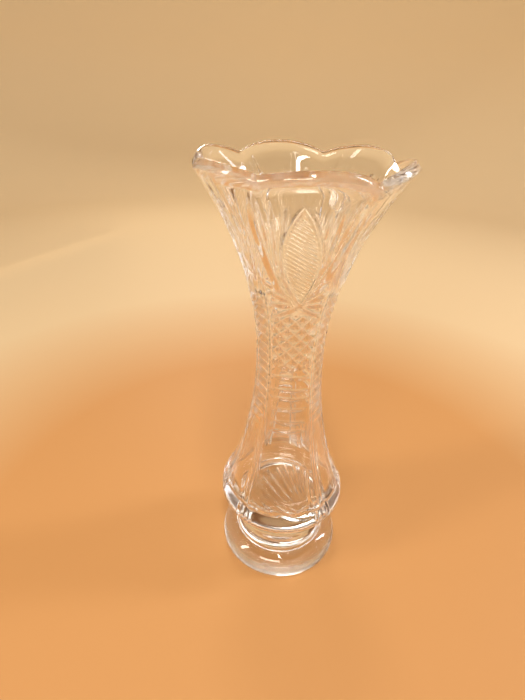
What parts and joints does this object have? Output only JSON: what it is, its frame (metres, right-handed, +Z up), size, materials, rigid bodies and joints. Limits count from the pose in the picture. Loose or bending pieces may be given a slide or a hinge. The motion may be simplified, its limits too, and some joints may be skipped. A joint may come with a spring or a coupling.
{
  "type": "cut crystal vase",
  "caption": "Footed vase in clear cut crystal: lobed and bevelled trumpet mouth, narrow waist, bulb with a thick bottom, and a round foot.",
  "frame": {"origin": "centre of the ring that the foot stands on", "axes": "+Z up along the vase's axis; the middle of the main cut panel faces -Y"},
  "size_m": [0.09, 0.0914, 0.23],
  "materials": {
    "cut_crystal": "polished clear crystal, wheel-cut and acid-polished",
    "knop_crystal": "fire-polished clear crystal",
    "foot_crystal": "fire-polished clear crystal, ground below"
  },
  "bodies": {
    "root": {"vessel": "cut_crystal", "joining_knop": "knop_crystal", "foot": "foot_crystal"}
  },
  "joints": []
}
